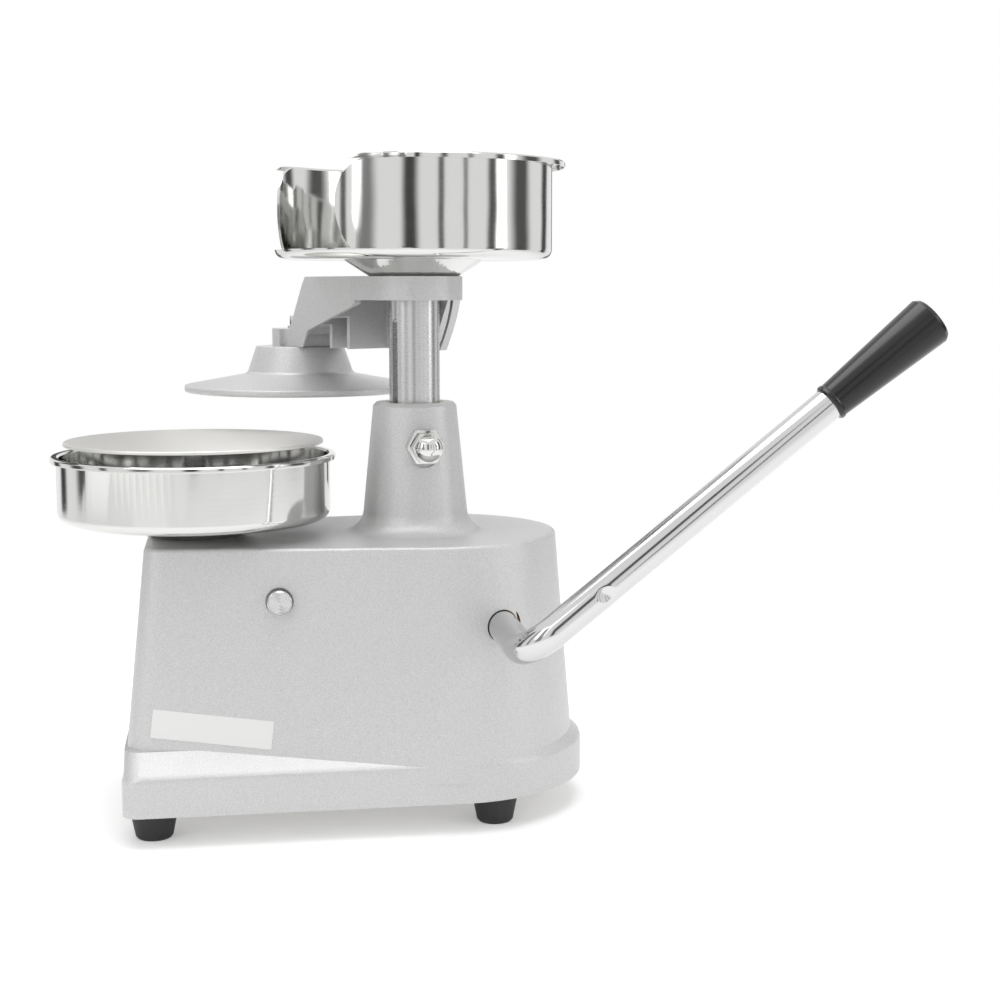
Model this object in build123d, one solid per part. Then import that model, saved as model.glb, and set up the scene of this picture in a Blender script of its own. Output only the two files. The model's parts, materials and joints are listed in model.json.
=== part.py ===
"""Hand-lever hamburger patty press.

A cast aluminium base on rubber feet carries a stainless mould bowl at the front and a sliding
steel column at the middle. A bent lever turns a shaft across the base: its fork moves the column
and its crank pulls a draw bar that tips a rocker under the ejector plate. The column carries a
swing arm with the press plate and the pan for the paper discs.

Millimetres. The model is laid out with the column's axis on X = Y = 0, the floor at Z = 0, the
front at -Y, the operator's right at +X, and is moved at the end so that the middle of its
footprint is the origin.
"""
from build123d import *
from math import asin, cos, degrees, radians, sin, sqrt, tan
import os

# Clearances
FIT = 0.05            # running clearance on a radius
SEAT = 0.3            # gap where a piece rests on another that moves
FREE = 0.4            # side play of pins in grooves and slots

# Base casting
SKIRT_Z0 = 18.0       # lower edge of the skirt, top of the feet
SKIRT_Z1 = 40.5       # top of the skirt's upright band
BODY_Z0 = 30.0        # where the tapered body starts inside the skirt
BODY_TOP = 164.0
WALL = 5.0
ROOF = 6.0
SKIRT_ROUND = 3.0
SKIRT_FRONT = -172.0
SKIRT_HALF = 82.0
SKIRT_REAR_Y = 18.0
BODY_REAR_Y = 12.0
BODY_R_TOP = 72.0
BODY_R_LOW = 83.0
FRONT_HALF_TOP = 57.0
FRONT_HALF_LOW = 68.5
FRONT_Y_TOP = -158.0
FRONT_Y_LOW = -172.0
SHOULDER_LEAN = 49.0  # degrees off upright
SHOULDER_H = 11.5

# Neck and column
NECK_TOP = 241.0
NECK_R_TOP = 24.8
NECK_R_LOW = 32.2
NECK_FLARE = 12.0
COLUMN_R = 15.0
BUSH_WALL = 2.5
BUSH_LEN = 24.0       # lower bush
BUSH_LEN_TOP = 16.0
SPIGOT_R = 12.0       # lower end of the column, inside the lift collar
ARM_TOP = 315.0
KEYWAY_W = 4.5
KEYWAY_DEPTH = 3.0
KEYWAY_TOP = 290.0
KEYWAY_LEN = 112.0

# Guide bolt in the neck
GUIDE_Z = 216.7
GUIDE_ANGLE = 5.3     # degrees from +X towards the rear
GUIDE_R = 6.0
GUIDE_NUT_AF = 20.0
GUIDE_JAM_H = 6.0
GUIDE_CAP_H = 10.0
GUIDE_DOME_R = 8.0
GUIDE_DOME_H = 5.5
GUIDE_DOME_BALL = (GUIDE_DOME_R ** 2 + GUIDE_DOME_H ** 2) / (2 * GUIDE_DOME_H)

# Bowl, ejector and paper pan
BOWL_Y = -129.8       # bowl axis, the reach of the swing arm
SHEET = 1.2
BOWL_R = 78.9
BOWL_H = 38.5
BOWL_LIP = 3.4
PAN_R = 81.4
PAN_H = 56.5
PAN_LIP = 7.6
PRESSED_CORNER = 6.0
CONE_R_LOW = 26.4
CONE_R_TOP = 41.5
CONE_H = 9.5
NOTCH_MID = -71.0     # degrees from +X towards the front, middle of the finger notch
NOTCH_TOP_HALF = 49.0     # degrees, at the rim
NOTCH_WAIST_HALF = 33.0   # degrees, where the edges come closest
NOTCH_SILL_HALF = 40.0    # degrees, at the sill
NOTCH_FLARE = 26.0
NOTCH_SILL = 5.5
EJECTOR_R = 75.0
EJECTOR_T = 2.0
EJECTOR_TOP = 220.0
EJECTOR_DOWN_GAP = 1.0    # clear of the bowl's rounded corner
EJECTOR_STEM_R = 6.0
EJECTOR_FOOT_W = 9.0
EJECTOR_FOOT_H = 4.0

# Swing arm and press plate
SWING = 61.0          # degrees from over the bowl to the pose shown
ARM_BAND = 14.0
BOSS_R = 28.6
FOOT_BOSS_R = 18.0
FOOT_TOP = 282.0
FOOT_LOW = 270.6
ARM_WALL = 5.0
NOSE_REACH = 88.0     # where the flat top ends
PRESS_R = 75.0
PRESS_EDGE = 4.4
PRESS_Z = 241.2
HUB_R_LOW = 34.5
HUB_R_TOP = 28.4
HUB_Z_LOW = 252.6

# Lever and its shaft
SHAFT_Y = 42.1
SHAFT_Z = 117.4
SHAFT_R = 8.75
LEVER_X = 146.0
LEVER_RISE = 38.6     # degrees above level, towards the rear
LEVER_BEND_R = 20.0
GRIP_START = 208.0
GRIP_LEN = 72.5
GRIP_R_SMALL = 10.4
GRIP_R_BIG = 13.8
ROD_IN_GRIP = 58.0

# Drive: fork to the column, crank and draw bar to the rocker
LEVER_TRAVEL = 41.0   # degrees, half of it each side of level for the fork
FORK_R = 40.0
FORK_T = 6.0
FORK_HUB_R = 15.0
FORK_GAP = 25.0       # half the gap between the fork's arms
PIN_R = 5.0
COLLAR_R = 24.0
COLLAR_ROOT_R = 19.5
COLLAR_H = 26.0
ROCKER_Y = -83.6
ROCKER_Z = 134.5
ROCKER_PIN_R = 7.0
ROCKER_HUB_R = 11.0
ROCKER_REACH = 46.2
ROLLER_R = 6.0
ROLLER_W = 10.0
LINK_R = 30.0
LINK_PIN_R = 4.0
LINK_X = -40.0        # middle plane of the draw bar
BAR_T = 4.0
BAR_H = 14.0
PLATE_T = 6.0         # crank and rocker side plates
PIN_BOSS_X = 51.0     # inner faces of the bosses on the rocker's pin

# Feet and screws
FOOT_X = 57.0
FOOT_FRONT_Y = -155.6
FOOT_REAR_Y = 39.4
FOOT_R_TOP = 13.5
FOOT_R_LOW = 10.6
BOTTOM_T = 2.0
BOSS_WALL = 4.0
SCREW_R = 2.5
SCREW_HEAD_R = 4.5

# Worked out from the above
EJECTOR_TRAVEL = EJECTOR_TOP - EJECTOR_T - (BODY_TOP + CONE_H + SHEET + EJECTOR_DOWN_GAP)
COLUMN_TRAVEL = 2 * FORK_R * sin(radians(LEVER_TRAVEL / 2))
ROLLER_REST = BODY_TOP - ROOF - 0.5 - EJECTOR_FOOT_H - SEAT - ROLLER_R
ROCKER_UP = degrees(asin((ROLLER_REST - ROCKER_Z) / ROCKER_REACH))
ROCKER_DOWN = degrees(asin((EJECTOR_TRAVEL - ROCKER_REACH * sin(radians(ROCKER_UP))) / ROCKER_REACH))
ROCKER_TRAVEL = ROCKER_UP + ROCKER_DOWN
BAR_TRAVEL = 2 * LINK_R * sin(radians(ROCKER_TRAVEL / 2))
CRANK_R = BAR_TRAVEL / (2 * sin(radians(LEVER_TRAVEL / 2)))
FORK_PIN_Z = SHAFT_Z + COLUMN_TRAVEL / 2
SHAFT_LEFT = -76.0
os.makedirs("parts", exist_ok=True)


def cylinder_z(radius, z0, z1, x=0.0, y=0.0):
    """Upright cylinder between two heights."""
    return Pos(x, y, (z0 + z1) / 2) * Cylinder(radius, z1 - z0)


def cylinder_x(radius, x0, x1, y=0.0, z=0.0):
    """Cylinder along X between two places."""
    return Pos((x0 + x1) / 2, y, z) * Rot(0, 90, 0) * Cylinder(radius, abs(x1 - x0))


def cone_z(r0, r1, z0, z1, x=0.0, y=0.0):
    """Upright cone, r0 at z0 and r1 at z1."""
    return Pos(x, y, (z0 + z1) / 2) * Cone(r0, r1, z1 - z0)


def block(x0, x1, y0, y1, z0, z1):
    """Box between two corners."""
    return Pos((x0 + x1) / 2, (y0 + y1) / 2, (z0 + z1) / 2) * Box(x1 - x0, y1 - y0, z1 - z0)


def prism_z(face, z0, z1):
    """A flat outline raised from z0 to z1."""
    return Pos(0, 0, z0) * extrude(face, z1 - z0, dir=(0, 0, 1))


def prism_x(points, x0, x1):
    """A closed outline of (y, z) points, drawn out along X."""
    face = make_face(Polyline([(x0, y, z) for y, z in points], close=True))
    return extrude(face, x1 - x0, dir=(1, 0, 0))


def turned(points, x=0.0, y=0.0):
    """A solid of revolution about an upright axis from (radius, height) points."""
    face = make_face(Polyline([(r, 0, z) for r, z in points], close=True))
    return Pos(x, y, 0) * revolve(face, Axis.Z)


def teardrop(front_y, half_front, rear_y, rear_r, corner_r):
    """Plan outline: square front with round corners, straight sides, round rear."""
    rounds = Pos(0, rear_y) * Rot(0, 0, -90) * Circle(rear_r)
    corner = Rot(0, 0, 90) * Circle(corner_r)
    corners = [Pos(side * (half_front - corner_r), front_y + corner_r) * corner for side in (-1, 1)]
    return make_hull(rounds.edges() + corners[0].edges() + corners[1].edges())


def lofted(low, z0, high, z1):
    """Straight-walled solid between two outlines."""
    return loft([(Pos(0, 0, z0) * low).faces()[0], (Pos(0, 0, z1) * high).faces()[0]], ruled=True)


def hexagon_x(across_flats, x0, x1):
    """Hexagonal bar along X, a flat at the top."""
    face = Plane.YZ.offset(x0) * RegularPolygon(across_flats / 2, 6, major_radius=False)
    return extrude(face, x1 - x0, dir=(1, 0, 0))


def hexagon_z(across_flats, z0, z1, x=0.0, y=0.0):
    """Upright hexagonal bar."""
    return Pos(x, y, z0) * extrude(RegularPolygon(across_flats / 2, 6, major_radius=False), z1 - z0)


def body_outline(drop):
    """Outline of the tapered body, drop millimetres below its top."""
    share = drop / (BODY_TOP - BODY_Z0)
    return (
        FRONT_Y_TOP + share * (FRONT_Y_LOW - FRONT_Y_TOP),
        FRONT_HALF_TOP + share * (FRONT_HALF_LOW - FRONT_HALF_TOP),
        BODY_R_TOP + share * (BODY_R_LOW - BODY_R_TOP),
    )


def body_plan(drop, inset, corner_r):
    """Plan of the body drop below its top, moved in by inset."""
    front_y, half_front, rear_r = body_outline(drop)
    return teardrop(front_y + inset, half_front - inset, BODY_REAR_Y, rear_r - inset, corner_r)


def base_housing():
    """Cast shell: skirt, sloped shoulder, tapered body, neck, and bosses inside."""
    plinth = Part()
    lean = SHOULDER_H * tan(radians(SHOULDER_LEAN))
    levels = [(SKIRT_Z0, 0.0), (SKIRT_Z1 - SKIRT_ROUND, 0.0), (SKIRT_Z1 - SKIRT_ROUND / 4, SKIRT_ROUND / 4),
              (SKIRT_Z1 + SKIRT_ROUND / 2, SKIRT_ROUND), (SKIRT_Z1 + SHOULDER_H, lean)]
    for (z0, inset0), (z1, inset1) in zip(levels, levels[1:]):
        plinth += lofted(skirt_plan(inset0), z0, skirt_plan(inset1), z1)
    body = lofted(body_plan(BODY_TOP - BODY_Z0, 0, 16.0), BODY_Z0, body_plan(0, 0, 12.0), BODY_TOP)
    body = fillet(body.faces().sort_by(Axis.Z)[-1].edges(), 2.5)
    neck_slope = (NECK_R_LOW - NECK_R_TOP) / (NECK_TOP - BODY_TOP)
    neck = make_face([
        Polyline([(0, 0, BODY_TOP - 1), (0, 0, NECK_TOP), (NECK_R_TOP - 2, 0, NECK_TOP),
                  (NECK_R_TOP, 0, NECK_TOP - 2), (NECK_R_LOW - neck_slope * NECK_FLARE, 0, BODY_TOP + NECK_FLARE)]),
        TangentArc((NECK_R_LOW - neck_slope * NECK_FLARE, 0, BODY_TOP + NECK_FLARE),
                   (NECK_R_LOW + NECK_FLARE, 0, BODY_TOP), tangent=(neck_slope, 0, -1)),
        Polyline([(NECK_R_LOW + NECK_FLARE, 0, BODY_TOP), (NECK_R_LOW + NECK_FLARE, 0, BODY_TOP - 1),
                  (0, 0, BODY_TOP - 1)]),
    ])
    outside = plinth + body + revolve(neck, Axis.Z)

    roof_z = BODY_TOP - ROOF
    low = body_plan(BODY_TOP - SKIRT_Z0, WALL, 11.0)
    cavity = lofted(low, SKIRT_Z0 - 1, body_plan(ROOF, WALL, 8.0), roof_z)
    skirt_room = teardrop(SKIRT_FRONT + WALL, SKIRT_HALF - WALL, SKIRT_REAR_Y, SKIRT_HALF - WALL, 6.0)
    cavity += prism_z(skirt_room, SKIRT_Z0 - 1, SKIRT_Z1 - 4)

    shaft_boss_r = SHAFT_R + BUSH_WALL + BOSS_WALL
    room = body_outline(BODY_TOP - SHAFT_Z)[2]
    bosses = []
    for side in (-1, 1):
        bosses.append(cylinder_x(shaft_boss_r, side * 52.0, side * room, SHAFT_Y, SHAFT_Z))
        bosses.append(cylinder_x(ROCKER_PIN_R + BOSS_WALL, side * PIN_BOSS_X, side * 70.0, ROCKER_Y, ROCKER_Z))
    bosses.append(cylinder_z(COLUMN_R + BUSH_WALL + BOSS_WALL, BODY_TOP - 10.0, BODY_TOP))
    for x, y in foot_places():
        bosses.append(cylinder_z(BOSS_WALL + SCREW_R + 2, SKIRT_Z0 + BOTTOM_T, 66.0, x, y))
        outward = 1 if x > 0 else -1
        bosses.append(block(min(x, x + outward * 22), max(x, x + outward * 22), y - 3, y + 3,
                            SKIRT_Z0 + BOTTOM_T + 2, 64.0))
    inner = outside & (bosses[0].fuse(*bosses[1:]))
    housing = outside - cavity + inner

    bore = cylinder_z(COLUMN_R + BUSH_WALL, BODY_TOP - 12.0, NECK_TOP + 1)
    housing -= bore
    housing -= cylinder_z(EJECTOR_STEM_R + BUSH_WALL, BODY_TOP - 12.0, BODY_TOP + 1, 0, BOWL_Y)
    seat_end = wall_face_at(SHAFT_Y, SHAFT_Z) - WALL
    housing -= cylinder_x(SHAFT_R + 0.5, -100, 100, SHAFT_Y, SHAFT_Z)
    housing -= cylinder_x(SHAFT_R + BUSH_WALL, -seat_end, seat_end, SHAFT_Y, SHAFT_Z)
    housing -= cylinder_x(SHAFT_R + 6, -100, -wall_face_at(SHAFT_Y, SHAFT_Z), SHAFT_Y, SHAFT_Z)
    housing -= cylinder_x(ROCKER_PIN_R, -58.5, 80, ROCKER_Y, ROCKER_Z)
    housing -= cylinder_x(ROCKER_PIN_R + 0.8, 63.0, 80, ROCKER_Y, ROCKER_Z)
    housing -= Rot(0, 0, GUIDE_ANGLE) * cylinder_x(GUIDE_R, COLUMN_R, 60, 0, GUIDE_Z)
    flat = Rot(0, 0, GUIDE_ANGLE) * cylinder_x(GUIDE_NUT_AF / 2 + 2.5, guide_face(), 60, 0, GUIDE_Z)
    housing -= flat
    for x, y in foot_places():
        housing -= cylinder_z(SCREW_R, SKIRT_Z0 - 5, 50.0, x, y)
    for x, y in bowl_screw_places():
        housing -= cylinder_z(SCREW_R, BODY_TOP - ROOF - 1, BODY_TOP + 1, x, y)
    return housing


def skirt_plan(inset):
    """Plan of the skirt moved in by inset; the front face stays nearly flush with the body."""
    return teardrop(SKIRT_FRONT + min(inset, 1.0), SKIRT_HALF - inset, SKIRT_REAR_Y - inset / 12,
                    SKIRT_HALF - inset, 10.0)


def guide_face():
    """Distance from the column's axis to the spot face under the guide bolt's nut."""
    share = (GUIDE_Z - BODY_TOP) / (NECK_TOP - BODY_TOP)
    return NECK_R_LOW + share * (NECK_R_TOP - NECK_R_LOW) - 0.6


def foot_places():
    """Plan places of the four feet."""
    return [(x, y) for x in (-FOOT_X, FOOT_X) for y in (FOOT_FRONT_Y, FOOT_REAR_Y)]


def bowl_screw_places():
    """Three screws on a circle through the bowl's dished seat."""
    radius = (CONE_R_LOW + EJECTOR_STEM_R + BUSH_WALL) / 2 + 1
    return [(radius * cos(radians(a)), BOWL_Y + radius * sin(radians(a))) for a in (90, 210, 330)]


def base_plate():
    """Sheet cover under the casting."""
    gap = WALL + 0.5
    plan = teardrop(SKIRT_FRONT + gap, SKIRT_HALF - gap, SKIRT_REAR_Y, SKIRT_HALF - gap, 5.5)
    plate = prism_z(plan, SKIRT_Z0, SKIRT_Z0 + BOTTOM_T)
    for x, y in foot_places():
        plate -= cylinder_z(SCREW_R + FIT, SKIRT_Z0 - 1, SKIRT_Z0 + BOTTOM_T + 1, x, y)
    return plate


def feet():
    """Four tapered rubber feet with a sunk screw seat."""
    foot = turned([(0, 0.8), (FOOT_R_LOW - 5, 0.8), (FOOT_R_LOW - 4, 0), (FOOT_R_LOW - 1.2, 0),
                   (FOOT_R_LOW, 1.4), (FOOT_R_TOP, SKIRT_Z0 - 2), (FOOT_R_TOP - 0.6, SKIRT_Z0), (0, SKIRT_Z0)])
    foot -= cylinder_z(SCREW_HEAD_R + 0.5, -1, 8.0)
    foot -= cylinder_z(SCREW_R, -1, SKIRT_Z0 + 1)
    return [Pos(x, y, 0) * foot for x, y in foot_places()]


def foot_screws():
    """Pan-head screws that hold the feet and the bottom plate to the casting."""
    screw = cylinder_z(SCREW_R - FIT, 8.0, 48.0) + cylinder_z(SCREW_HEAD_R, 4.5, 8.0)
    return [Pos(x, y, 0) * screw for x, y in foot_places()]


def pressing(wall_r, height, lip, z0, y=0.0):
    """Sheet dish: dished cone seat, rounded bottom edge, upright wall, out-turned rolled lip."""
    with BuildPart() as dish:
        with BuildSketch(Plane.XZ) as section:
            with BuildLine():
                outer_floor = z0 + CONE_H
                seat = Polyline([(CONE_R_LOW, z0), (CONE_R_TOP, outer_floor), (wall_r - PRESSED_CORNER, outer_floor)])
                corner = TangentArc((wall_r - PRESSED_CORNER, outer_floor), (wall_r, outer_floor + PRESSED_CORNER),
                                    tangent=(1, 0))
                Line(corner @ 1, (wall_r, z0 + height - 2.6))
                TangentArc((wall_r, z0 + height - 2.6), (wall_r + 1.4, z0 + height - SHEET), tangent=(0, 1))
                Line((wall_r + 1.4, z0 + height - SHEET), (wall_r + lip - 0.8, z0 + height - SHEET))
                Line((wall_r + lip - 0.8, z0 + height - SHEET), (wall_r + lip - 0.8, z0 + height - 3.2))
                Line((wall_r + lip - 0.8, z0 + height - 3.2), (wall_r + lip, z0 + height - 3.2))
                Line((wall_r + lip, z0 + height - 3.2), (wall_r + lip, z0 + height - 0.8))
                Line((wall_r + lip, z0 + height - 0.8), (wall_r + lip - 0.8, z0 + height))
                Line((wall_r + lip - 0.8, z0 + height), (wall_r - 0.2, z0 + height))
                Line((wall_r - 0.2, z0 + height), (wall_r - SHEET, z0 + height - 1.2))
                Line((wall_r - SHEET, z0 + height - 1.2), (wall_r - SHEET, outer_floor + PRESSED_CORNER))
                inner = TangentArc((wall_r - SHEET, outer_floor + PRESSED_CORNER),
                                   (wall_r - PRESSED_CORNER, outer_floor + SHEET), tangent=(0, -1))
                Line(inner @ 1, (CONE_R_TOP - 0.4, outer_floor + SHEET))
                Line((CONE_R_TOP - 0.4, outer_floor + SHEET), (CONE_R_LOW - 0.4, z0 + SHEET))
                Line((CONE_R_LOW - 0.4, z0 + SHEET), (0, z0 + SHEET))
                Line((0, z0 + SHEET), (0, z0))
                Line((0, z0), seat @ 0)
            make_face()
        revolve(axis=Axis.Z)
    return Pos(0, y, 0) * dish.part


def bowl():
    """Mould bowl, screwed to the front of the casting."""
    dish = pressing(BOWL_R, BOWL_H + CONE_H, BOWL_LIP, BODY_TOP, BOWL_Y)
    dish -= cylinder_z(EJECTOR_STEM_R + BUSH_WALL + FIT, BODY_TOP - 1, BODY_TOP + 5, 0, BOWL_Y)
    for x, y in bowl_screw_places():
        dish -= cylinder_z(SCREW_R + FIT, BODY_TOP - 1, BODY_TOP + 5, x, y)
    return dish


def bowl_screws():
    """Three low-head screws in the bowl's dished seat."""
    z = BODY_TOP + SHEET
    screw = cylinder_z(SCREW_R - FIT, BODY_TOP - ROOF - 2, z) + cylinder_z(SCREW_HEAD_R, z, z + 2.4)
    return [Pos(x, y, 0) * screw for x, y in bowl_screw_places()]


def sleeve_z(inner_r, z0, z1, y=0.0):
    """Plain bronze bush on an upright axis."""
    return cylinder_z(inner_r + BUSH_WALL - FIT / 2, z0, z1, 0, y) - cylinder_z(inner_r + FIT, z0 - 1, z1 + 1, 0, y)


def sleeve_x(inner_r, x0, x1, y, z):
    """Plain bronze bush on an axis along X."""
    return (cylinder_x(inner_r + BUSH_WALL - FIT / 2, x0, x1, y, z)
            - cylinder_x(inner_r + FIT, x0 - 1, x1 + 1, y, z))


def wall_face_at(y, z):
    """Half-width of the round rear of the body at a place on its side."""
    rear_r = body_outline(BODY_TOP - z)[2]
    return sqrt(rear_r ** 2 - (y - BODY_REAR_Y) ** 2)


def guide_bolt():
    """Stud through the neck: its round tip runs in the column's keyway when the arm is over the bowl."""
    stud = cylinder_x(GUIDE_R - FIT, COLUMN_R + BUSH_WALL + 0.5, guide_face() + GUIDE_JAM_H + 6.0, 0, GUIDE_Z)
    tip = cylinder_x(2.0, COLUMN_R + 2 * FIT, COLUMN_R + BUSH_WALL + 0.5, 0, GUIDE_Z)
    return Rot(0, 0, GUIDE_ANGLE) * (stud + tip)


def guide_jam_nut():
    """Hexagon jam nut against the neck's spot face."""
    x0 = guide_face()
    nut = Pos(0, 0, GUIDE_Z) * hexagon_x(GUIDE_NUT_AF, x0, x0 + GUIDE_JAM_H)
    nut &= cylinder_x(GUIDE_NUT_AF / 2 + 1.2, x0, x0 + GUIDE_JAM_H, 0, GUIDE_Z)
    nut -= cylinder_x(GUIDE_R, x0 - 1, x0 + GUIDE_JAM_H + 1, 0, GUIDE_Z)
    return Rot(0, 0, GUIDE_ANGLE) * nut


def guide_cap_nut():
    """Domed cap nut outside the jam nut."""
    x0 = guide_face() + GUIDE_JAM_H
    x1 = x0 + GUIDE_CAP_H - 2.0
    af = GUIDE_NUT_AF - 3.0
    nut = hexagon_x(af, x0, x1) & cylinder_x(af / 2 + 1.1, x0, x1)
    rise = x1 + 1 + GUIDE_DOME_H - GUIDE_DOME_BALL + sqrt(GUIDE_DOME_BALL ** 2 - (GUIDE_DOME_R * 0.6) ** 2)
    dome = make_face([
        Line((0, 0, x1 - 1), (GUIDE_DOME_R, 0, x1 - 1)),
        Line((GUIDE_DOME_R, 0, x1 - 1), (GUIDE_DOME_R, 0, x1 + 1)),
        ThreePointArc((GUIDE_DOME_R, 0, x1 + 1), (GUIDE_DOME_R * 0.6, 0, rise), (0, 0, x1 + 1 + GUIDE_DOME_H)),
        Line((0, 0, x1 + 1 + GUIDE_DOME_H), (0, 0, x1 - 1)),
    ])
    nut += Rot(0, 90, 0) * revolve(dome, Axis.Z)
    nut -= cylinder_x(GUIDE_R, x0 - 1, x0 + 7.0)
    return Rot(0, 0, GUIDE_ANGLE) * Pos(0, 0, GUIDE_Z) * nut


def rocker_pin():
    """Pivot pin of the rocker: its turned end shows in the right wall."""
    pin = cylinder_x(ROCKER_PIN_R - FIT, -58.5, 72.0, ROCKER_Y, ROCKER_Z)
    return chamfer(pin.faces().sort_by(Axis.X)[-1].edges(), 0.8)


def column():
    """Ground steel column: stepped at its foot, keyway down one side, tapped at the top."""
    top = ARM_TOP - 1.0
    shoulder = FORK_PIN_Z + COLLAR_H / 2
    foot = FORK_PIN_Z - COLLAR_H / 2 - SEAT
    rod = cylinder_z(COLUMN_R, shoulder, top) + cylinder_z(SPIGOT_R - FIT, foot, shoulder)
    slot = block(COLUMN_R - KEYWAY_DEPTH, COLUMN_R + 5, -KEYWAY_W / 2, KEYWAY_W / 2,
                 KEYWAY_TOP - KEYWAY_LEN, KEYWAY_TOP - KEYWAY_W / 2)
    slot += Pos(COLUMN_R - KEYWAY_DEPTH + 6, 0, KEYWAY_TOP - KEYWAY_W / 2) * Rot(0, 90, 0) * Cylinder(KEYWAY_W / 2, 12)
    rod -= Rot(0, 0, GUIDE_ANGLE) * slot
    rod -= cylinder_z(4.0, foot - 1, foot + 22)
    rod -= cylinder_z(4.0, top - 26, top + 1)
    return rod


def column_end_screw():
    """Cap screw and washer under the column that keep the lift collar on."""
    foot = FORK_PIN_Z - COLLAR_H / 2 - SEAT
    washer = cylinder_z(17.0, foot - 2.5, foot)
    return washer + cylinder_z(4.0, foot, foot + 20) + cylinder_z(6.5, foot - 8.0, foot - 2.5)


def lift_collar():
    """Grooved collar on the column's foot, lifted by the fork's two rollers."""
    z0 = FORK_PIN_Z - COLLAR_H / 2
    z1 = FORK_PIN_Z + COLLAR_H / 2 - SEAT
    half = PIN_R + FREE
    ring = turned([(SPIGOT_R + FIT, z0), (COLLAR_R, z0), (COLLAR_R, FORK_PIN_Z - half),
                   (COLLAR_ROOT_R, FORK_PIN_Z - half), (COLLAR_ROOT_R, FORK_PIN_Z + half),
                   (COLLAR_R, FORK_PIN_Z + half), (COLLAR_R, z1), (SPIGOT_R + FIT, z1)])
    return ring


def fork_end():
    """Place of the fork's rollers in the pose shown: (y, z)."""
    half = radians(LEVER_TRAVEL / 2)
    return SHAFT_Y - FORK_R * cos(half), SHAFT_Z + FORK_R * sin(half)


def link_plate(x0, x1, start, start_r, end, end_r):
    """Flat link between two round ends, given as (y, z) centres, drawn out along X."""
    circles = (Pos(*start) * Circle(start_r)).edges() + (Pos(*end) * Circle(end_r)).edges()
    return extrude(Plane.YZ.offset(x0) * make_hull(circles), x1 - x0, dir=(1, 0, 0))


def crank_end():
    """Place of the crank's pin in the pose shown: (y, z)."""
    half = radians(LEVER_TRAVEL / 2)
    return SHAFT_Y - CRANK_R * sin(half), SHAFT_Z - CRANK_R * cos(half)


def crank_fork():
    """Fork and crank, cast in one on the shaft, with a flat for each set screw."""
    hub = cylinder_x(FORK_HUB_R, LINK_X - BAR_T / 2 - FREE - PLATE_T, FORK_GAP + FORK_T, SHAFT_Y, SHAFT_Z)
    fork = hub
    for side in (-1, 1):
        near, far = sorted((side * FORK_GAP, side * (FORK_GAP + FORK_T)))
        fork += link_plate(near, far, (SHAFT_Y, SHAFT_Z), FORK_HUB_R, fork_end(), 8.0)
        fork -= cylinder_x(PIN_R - 1.5, near - 1, far + 1, *fork_end())
    x0 = LINK_X - BAR_T / 2 - FREE - PLATE_T
    fork += link_plate(x0, x0 + PLATE_T, (SHAFT_Y, SHAFT_Z), FORK_HUB_R, crank_end(), 8.0)
    fork -= cylinder_x(LINK_PIN_R, x0 - 1, x0 + PLATE_T + 1, *crank_end())
    fork -= cylinder_x(SHAFT_R + FIT / 2, x0 - 1, FORK_GAP + FORK_T + 1, SHAFT_Y, SHAFT_Z)
    for x in (-12.0, 12.0):
        fork -= cylinder_z(3.0, SHAFT_Z + SHAFT_R - 1, SHAFT_Z + FORK_HUB_R + 1, x, SHAFT_Y)
    return fork


def crank_set_screws():
    """Two grub screws that clamp the fork to the shaft."""
    screw = cylinder_z(3.0 - FIT, SHAFT_Z + SHAFT_R + FIT, SHAFT_Z + FORK_HUB_R - 1)
    screw -= hexagon_z(3.0, SHAFT_Z + FORK_HUB_R - 3.5, SHAFT_Z + FORK_HUB_R)
    return [Pos(x, SHAFT_Y, 0) * screw for x in (-12.0, 12.0)]


def fork_rollers():
    """Two headed rollers at the fork's ends, in the collar's groove."""
    y, z = fork_end()
    rollers = []
    for side in (-1, 1):
        inner = COLLAR_ROOT_R + SEAT
        a, b = sorted((side * inner, side * FORK_GAP))
        c, d = sorted((side * FORK_GAP, side * (FORK_GAP + FORK_T)))
        rollers.append(cylinder_x(PIN_R, a, b, y, z) + cylinder_x(PIN_R - 1.5 - FIT, c, d, y, z))
    return rollers


def crank_pin():
    """Pin at the crank's end that pulls the draw bar."""
    y, z = crank_end()
    x0 = LINK_X - BAR_T / 2 - FREE - PLATE_T
    pin = cylinder_x(LINK_PIN_R - FIT, x0, LINK_X + BAR_T / 2 + FREE, y, z)
    return pin + cylinder_x(LINK_PIN_R + 2, LINK_X + BAR_T / 2 + FREE, LINK_X + BAR_T / 2 + FREE + 1.5, y, z)


def lever_rod():
    """Bent chromed rod: the shaft across the base and the lever are one piece."""
    rise = radians(LEVER_RISE)
    tip = GRIP_START + ROD_IN_GRIP
    path = FilletPolyline(
        [(SHAFT_LEFT, SHAFT_Y, SHAFT_Z), (LEVER_X, SHAFT_Y, SHAFT_Z),
         (LEVER_X, SHAFT_Y + tip * cos(rise), SHAFT_Z + tip * sin(rise))],
        radius=LEVER_BEND_R,
    )
    rod = sweep(Plane(origin=path @ 0, z_dir=path % 0) * Circle(SHAFT_R), path=path)
    return chamfer(rod.faces().sort_by(Axis.X)[0].edges(), 1.0)


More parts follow.
